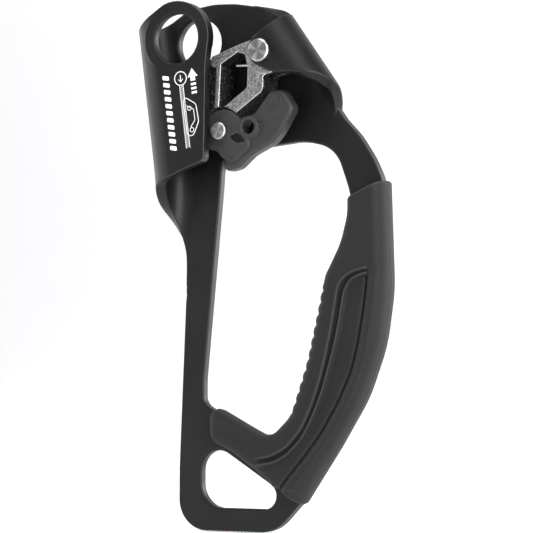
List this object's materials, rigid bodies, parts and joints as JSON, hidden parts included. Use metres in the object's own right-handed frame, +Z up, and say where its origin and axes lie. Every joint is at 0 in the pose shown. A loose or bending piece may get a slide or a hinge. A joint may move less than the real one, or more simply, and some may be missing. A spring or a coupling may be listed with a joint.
{
  "type": "handled rope ascender",
  "caption": "Hand ascender: bent alloy frame with a rope channel, sprung toothed cam, safety catch, moulded grip, and connector eyes at top and bottom.",
  "frame": {"origin": "centre of the upper connector hole, in the plane of the back plate's front face", "axes": "+Z up along the tool, +X from the rope channel towards the hand grip, +Y from the cam side to the back"},
  "size_m": [0.0988, 0.0287, 0.1956],
  "materials": {
    "anodised_alloy": "black anodised, satin",
    "grip_rubber": "matte moulded rubber",
    "cast_steel": "cast, polished rims",
    "turned_steel": "turned face",
    "spring_steel": "bright wire",
    "catch_plastic": "moulded plastic"
  },
  "bodies": {
    "frame_body": {"frame": "anodised_alloy", "grip": "grip_rubber", "cam_axle": "turned_steel", "axle_washer": "turned_steel"},
    "cam_body": {"cam": "cast_steel", "catch_rivet": "turned_steel", "cam_spring": "spring_steel"},
    "catch_body": {"safety_catch": "catch_plastic", "catch_spring": "spring_steel"}
  },
  "joints": [
    {"name": "cam_pivot", "type": "hinge", "parent": "frame_body", "child": "cam_body", "pos_m": [0.0353, -0.00675, -0.00675], "axis": [0, -1, 0], "range_deg": [0, 45], "stiffness_Nm_per_rad": 0.05, "springref_deg": -20.05},
    {"name": "catch_pivot", "type": "hinge", "parent": "cam_body", "child": "catch_body", "pos_m": [0.0162, -0.0113, -0.03465], "axis": [0, -1, 0], "range_deg": [-45, 0]}
  ],
  "couplings": [
    {"joint": "catch_pivot", "follows": "cam_pivot", "ratio": -1}
  ]
}
